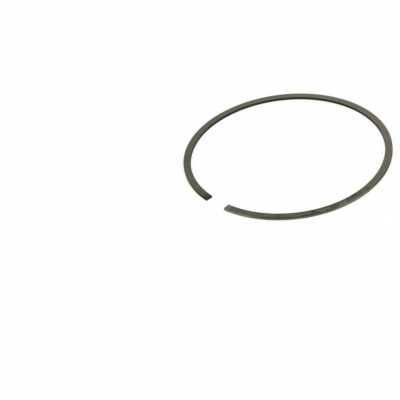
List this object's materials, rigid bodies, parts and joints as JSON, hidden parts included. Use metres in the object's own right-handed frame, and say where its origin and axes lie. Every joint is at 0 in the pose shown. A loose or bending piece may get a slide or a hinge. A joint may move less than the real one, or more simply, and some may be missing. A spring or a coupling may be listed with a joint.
{
  "type": "piston ring",
  "caption": "Split piston compression ring in its free state: a thin flat-sided ring with a barrel-shaped running face, square-cut ends and an open gap.",
  "frame": {"origin": "on the ring's lower side face, at the centre of its outline", "axes": "+Z is the ring's axis, from the lower side face to the marked upper one; the gap faces -Y and the back of the ring lies towards +Y"},
  "size_m": [0.0896, 0.088, 0.0012],
  "materials": {
    "nitrided_steel": "matte grey-olive nitrided side faces, satin running face, dark inner face"
  },
  "bodies": {
    "root": {"compression_ring": "nitrided_steel"}
  },
  "joints": []
}
